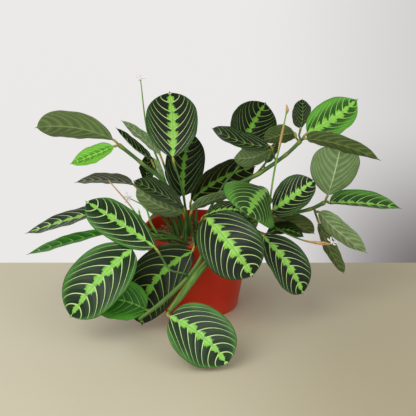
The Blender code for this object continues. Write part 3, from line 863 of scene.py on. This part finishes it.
# Leaves in front. They lean over the lip, and those on the two drooping shoots hang down to
# the ground, flat and fully open, so their pattern shows best.
leaf("leaf_front_left_upper", "dark", (-16, -108, 87), (-56, -95, 119), (-103, -84, 150),
     (-147, -65, 172), 27, (0.19, -0.68, 0.71), cup=-0.08,
     path=[(-36, -105, 92)], lean=1.15, roots=False, look="fresh")
leaf("leaf_new_spike", "young", (-36, -51), (-68, -67, 123), (-74, -66.5, 143),
     (-77, -68, 163), 3, (0.2, -0.95, 0.2), path=[(-42, -54, 119)], cup=0.6, point=1.0, look="lime")
leaf("leaf_front_left_lower", "dark", (-12, -38), (-85, -100, 118), (-128, -132, 86),
     (-164, -140, 39), 38, (-0.12, -0.83, 0.54), path=[(-48, -66, 120)],
     look="fresh")
leaf("leaf_front_left_young", "young", (-58, -118, 41), (-68, -110, 37), (-102, -112, 52),
     (-145, -114, 52), 29, (0.19, -0.72, 0.67), roots=False, look="plain")
leaf("leaf_front_pot", "dark", (-4, -40), (-7, -87, 110), (-58, -86, 65),
     (-74, -92, 6), 35, (-0.35, -0.93, 0.15), path=[(-6, -66, 121)], look="deep")
leaf("leaf_front_bottom", "dark", (-38, -163, 54), (-34, -167, 52), (7, -195, 38),
     (38, -215, 8), 37, (-0.13, -0.78, 0.61), roots=False, look="fresh")
leaf("leaf_front_centre", "dark", (4, -22), (13, -68, 149), (43, -108, 126),
     (72, -120, 87), 40, (-0.11, -0.81, 0.58))
leaf("leaf_front_right_folded", "mid", (18, -8), (91, -45, 181), (76, -85, 182),
     (64, -115, 169), 45, (0.59, -0.32, 0.74), path=[(64, -34, 172)],
     cup=-0.28, lean=1.2)
leaf("leaf_right_middle", "dark", (97, -38, 146), (100, -40, 151), (127, -52, 176),
     (154, -50, 196), 28, (-0.58, -0.58, 0.57), roots=False)
leaf("leaf_right_lower", "dark", (18, -30), (86, -60, 121), (118, -80, 90),
     (140, -82, 47), 29, (0.40, -0.74, 0.54), lean=1.2, path=[(56, -50, 130)])
leaf("leaf_right_low_dark", "dark", (26, -22), (92, -30, 113), (117, -34, 121),
     (143, -36, 111), 22, (0.06, -0.08, 1.00), path=[(70, -28, 120)], look="deep")
leaf("leaf_right_low_olive", "olive", (28, -12), (95, -16, 131), (122, -12, 125),
     (160, -5, 104), 25, (0.15, 0.74, 0.66))

# Leaves on the right and at the crown. Several are turned and show their grey or olive
# undersides; the youngest stand up and are brighter.
leaf("leaf_far_right", "mid", (174, -19, 156), (178, -14, 152), (222, -12, 151),
     (276, -15, 144), 25, (0.06, -0.18, 0.98), cup=0.3, roots=False, point=1.1)
leaf("leaf_right_pale", "pale", (172, -22, 160), (175, -15, 164), (184, -14, 199),
     (191, -12, 238), 35, (-0.19, 0.96, 0.20), lean=1.3, roots=False, point=0.5, ripple=0.3)
leaf("leaf_right_olive", "olive", (140, -18, 243), (144, -28, 246), (190, -42, 241),
     (240, -45, 221), 19, (0.27, 0.72, 0.64), lean=0.75, roots=False, point=0.9)
leaf("leaf_right_top", "young", (141, -10, 244), (146, -5, 247), (181, 0, 266),
     (213, 5, 292), 31, (-0.40, -0.58, 0.71), roots=False, point=1.0)
leaf("leaf_right_top_behind", "dark", (135, -4, 244), (139, 20, 248), (142, 31, 265),
     (141, 36, 284), 18, (-0.75, -0.65, 0.11), roots=False, look="bare")
leaf("leaf_top_round", "dark", (0, 4), (61, 15, 223), (74, 25, 252),
     (92, 29, 281), 34, (0.32, -0.94, 0.10), path=[(34, 6, 170), (60, 8, 204)], look="deep")
leaf("leaf_top_flat", "dark", (88, -9, 203), (96, -12, 231), (57, -20, 240),
     (18, -21, 259), 27, (0.20, -0.20, 0.96), path=[(99, -9, 221)], roots=False, look="bare")
leaf("leaf_top_under", "pale", (104, -9, 212), (95, 4, 221), (72, -1, 212),
     (48, -3, 213), 18, (-0.1, 0.93, 0.35), roots=False)
leaf("leaf_top_olive", "olive", (131, -7, 241), (129, 0, 246), (112, 8, 241),
     (88, 14, 231), 18, (-0.09, 0.88, 0.45), roots=False)
leaf("leaf_behind_shoot", "dark", (10, 10), (94, 54, 188), (101, 56, 204),
     (108, 55, 219), 15, (0.75, -0.59, -0.31), path=[(66, 62, 152)])
leaf("leaf_behind_crown", "dark", (-2, 18), (-9, 22, 145), (33, 38, 171),
     (80, 40, 187), 33, (0.36, -0.85, -0.38), look="deep")
leaf("leaf_crown_pale", "pale", (-6, -18), (-8, -24, 146), (19, -26, 160),
     (54, -26, 171), 16, (-0.24, 0.69, 0.68), look="light")
leaf("leaf_right_sage", "pale", (158, -34, 146), (162, -37, 147), (186, -46, 124),
     (228, -46, 91), 21, (0.48, 0.76, 0.44), roots=False, point=0.7, look="light")
leaf("leaf_right_hanging", "olive", (157, -25, 144), (164, -20, 125), (180, -22, 87),
     (200, -24, 53), 16, (0.72, 0.62, 0.31), roots=False)
leaf("leaf_crown_dark", "dark", (0, -14), (8, -38, 141), (37, -52, 156),
     (66, -58, 152), 20, (-0.25, -0.13, 0.96))

# Leaves at the back. Plain, well grown leaves that arch over the rear of the pot.
leaf("leaf_back_left", "dark", (-20, 22), (-36, 50, 132), (-52, 88, 130),
     (-55, 130, 95), 30, (-0.2, 0.6, 0.8))
leaf("leaf_back", "dark", (-4, 26), (0, 62, 138), (8, 102, 138),
     (14, 145, 104), 33, (0.0, 0.6, 0.8))
leaf("leaf_back_right", "mid", (10, 22), (46, 54, 132), (72, 86, 130),
     (92, 116, 98), 31, (0.3, 0.5, 0.8))
leaf("leaf_back_low_left", "dark", (-16, 34), (-34, 92, 104), (-46, 124, 78),
     (-44, 146, 38), 29, (-0.3, 0.85, 0.4), path=[(-26, 66, 122)])
leaf("leaf_back_low_right", "young", (6, 34), (38, 92, 104), (58, 122, 84),
     (66, 150, 46), 28, (0.3, 0.85, 0.4), path=[(24, 66, 122)])

# Flower stalks and flowers. Wiry stalks thinner than the leaf stalks; three carry a small
# white flower of rounded petals, the others have dried to a straw coloured tip.
PETALS = 5


def petal_white():
    material, tree, shader, place = finish("petal_white")
    veins_and_painted_shade = noise(tree, place, 900.0, 2.0)
    # Fine lilac grey marks on the white: partly the petals' own veining and partly painted shade.
    white_and_painted_shade = mix(tree, rise(tree, veins_and_painted_shade, 0.4, 0.7), colour(240, 238, 234), colour(190, 182, 204))
    tree.links.new(white_and_painted_shade, shader.inputs["Base Color"])
    shader.inputs["Roughness"].default_value = 0.55
    tree.links.new(bumped(tree, veins_and_painted_shade, 0.3, 0.0002), shader.inputs["Normal"])
    return material


white = petal_white()


def flower(node, name, centre, up, size):
    """Petals round a short throat, made from one bulged petal that is copied round."""
    bpy.ops.object.select_all(action="DESELECT")
    up = unit(np.array(up, float))
    east = across(up, np.array((1.0, 0.2, 0.1)))
    north = np.cross(up, east)
    pieces = []
    for number in range(PETALS + 1):
        bpy.ops.mesh.primitive_uv_sphere_add(segments=16, ring_count=10, radius=1)
        petal = bpy.context.object
        turn = 2 * math.pi * number / PETALS + 0.3 * (number % 2)
        outward = east * math.cos(turn) + north * math.sin(turn)
        sideways = np.cross(up, outward)
        throat = number == PETALS
        for vertex in petal.data.vertices:
            along, beside, over = vertex.co
            if throat:
                point = up * size * (0.30 + 0.32 * over)
                point = point + (east * along + north * beside) * size * (0.16 + 0.10 * (1 - over) / 2)
            else:
                reach = 0.52 + 0.48 * along
                point = outward * size * reach
                point = point + sideways * beside * size * 0.27 * (0.55 + 0.45 * along)
                point = point + up * size * (0.42 + 0.20 * reach**2 - 0.16 * beside**2 + 0.05 * over)
            vertex.co = (np.array(centre) + point) * MM
        pieces.append(petal)
    join(pieces, pieces[0])
    piece = pieces[0]
    piece.name = name
    bpy.ops.object.mode_set(mode="EDIT")
    bpy.ops.mesh.select_all(action="SELECT")
    bpy.ops.mesh.normals_make_consistent(inside=False)
    bpy.ops.object.mode_set(mode="OBJECT")
    bpy.ops.object.shade_smooth()
    piece.data.materials.clear()
    piece.data.materials.append(white)
    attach(piece, "root")
    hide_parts(node)


shoot("flower_stalk_tall", "tall_flower_stalk",
      [(-24, 18), (-52, 30, 190), (-69, 32, 240), (-77, 30, 312)],
      (1.7, 1.6, 1.2, 0.7), skin=wiry_skin)
flower("flower_tall", "tall_flower", (-77, 30, 311.5), (0.1, -0.5, 1), 8)
shoot("flower_stalk_dry", "dry_flower_stalk",
      [(95, -35, 146), (97, -35, 170), (102, -31, 205), (109, -26, 241), (116, -22, 277),
       (117.5, -21, 283), (116.5, -20, 290)],
      (1.4, 1.3, 1.3, 1.2, 0.9, 2.3, 0.7), rooted=False, dry_from=0.72, dry_sheaths=((3.2, 0.5),),
      skin=wiry_skin)
shoot("flower_stalk_left", "left_flower_stalk",
      [(-26, -36), (-66, -58, 128), (-88, -57, 162), (-116, -54, 196)],
      (1.2, 1.1, 1.0, 0.8), dry_from=0.62, skin=wiry_skin)
shoot("flower_stalk_low_left", "low_left_flower_stalk",
      [(-46, -36), (-62, -45, 133), (-70, -42, 155), (-90, -42, 168)],
      (1.6, 1.6, 1.0, 0.6), skin=wiry_skin)
flower("flower_low_left", "low_left_flower", (-91, -42, 168.6), (-0.6, -0.8, 0.5), 8)
shoot("flower_stalk_right", "right_flower_stalk",
      [(94, -42, 134), (112, -55, 126), (139, -58, 115), (158, -55, 110),
       (168, -55, 109), (176, -55, 108)],
      (1.1, 1.1, 1.0, 2.0, 2.6, 1.2), rooted=False, dry_from=0.36)
flower("flower_right", "right_flower", (177.5, -55, 109), (0.4, -0.4, 1), 8)

# Stage: a pale table top with painted shade towards its right, a wall far behind it that glows
# with painted light, painted shade towards its right and a painted shadow low on the right,
# soft daylight from the upper left, and the camera.
TABLE_BACK = 0.152
TABLE_SIZE = (9, 5, 0.04)
WALL_BACK = 3.4
LIT_SPOT = (0, 0, 0.15)
CAMERA_AIM = (0.0136, 0.0, 0.140)
CAMERA_RISE = math.radians(19)
CAMERA_DISTANCE = 1.70
CAMERA_LENS = 107.8

table_middle = (0, TABLE_BACK - TABLE_SIZE[1] / 2, -TABLE_SIZE[2] / 2)
bpy.ops.mesh.primitive_cube_add(size=1, location=table_middle, scale=TABLE_SIZE)
table = bpy.context.object
table.name = "table"
table_paint, tree, shader, place = finish("table_paint")
across_table = split_up(tree, place)[0]
pale = mix(tree, noise(tree, place, 3.0, 2.0), colour(196, 189, 163), colour(204, 197, 174))
# Painted shade: the table top turns darker towards its right side.
painted_shade_right = rise(tree, across_table, -0.05, 0.26)
tree.links.new(mix(tree, painted_shade_right, pale, colour(170, 161, 133)), shader.inputs["Base Color"])
shader.inputs["Roughness"].default_value = 0.5
table.data.materials.append(table_paint)

bpy.ops.mesh.primitive_plane_add(size=8, location=(0, WALL_BACK, 0), rotation=(math.pi / 2, 0, 0))
wall = bpy.context.object
wall.name = "wall"
glowing_wall_with_painted_shade, tree, shader, place = finish("glowing_wall_with_painted_shade")
across_wall, up_wall = split_up(tree, place)[:2]
# Painted light: the wall glows instead of being lit, and its grey turns darker towards the right as
# painted shade.
grey = mix(tree, rise(tree, across_wall, 0.1, 1.1), colour(232, 230, 229), colour(204, 202, 202))
low_down = fall(tree, up_wall, -1.35, -0.6)
# Painted shadow: a dark grey patch low down on the right of the wall.
painted_shadow_low_right = calc(tree, "MULTIPLY", rise(tree, across_wall, 0.2, 1.0), low_down)
grey = mix(tree, painted_shadow_low_right, grey, colour(104, 96, 98))
tree.links.new(grey, shader.inputs["Emission Color"])
shader.inputs["Emission Strength"].default_value = 1.0
shader.inputs["Base Color"].default_value = (0, 0, 0, 1)
wall.data.materials.append(glowing_wall_with_painted_shade)


def lamp(name, power, size, location, aim):
    """A square soft light that looks at a point."""
    direction = Vector(aim) - Vector(location)
    turn = direction.to_track_quat("-Z", "Y").to_euler()
    bpy.ops.object.light_add(type="AREA", location=location, rotation=turn)
    light = bpy.context.object
    light.name = name
    light.data.energy = power
    light.data.size = size


lamp("window_light", 52, 2.0, (-1.3, -2.0, 2.0), LIT_SPOT)
lamp("room_light", 16, 2.4, (1.8, -1.9, 1.2), LIT_SPOT)
world = bpy.data.worlds.new("room")
world.use_nodes = True
world.node_tree.nodes["Background"].inputs[0].default_value = colour(232, 229, 223)
world.node_tree.nodes["Background"].inputs[1].default_value = 0.75
bpy.context.scene.world = world
bpy.context.scene.view_settings.view_transform = "Standard"

back = (0.0, -math.cos(CAMERA_RISE), math.sin(CAMERA_RISE))
spot = [aim + CAMERA_DISTANCE * step for aim, step in zip(CAMERA_AIM, back)]
bpy.ops.object.camera_add(location=spot, rotation=(math.pi / 2 - CAMERA_RISE, 0, 0))
camera = bpy.context.object
camera.data.lens = CAMERA_LENS
camera.data.sensor_width = 36
bpy.context.scene.camera = camera
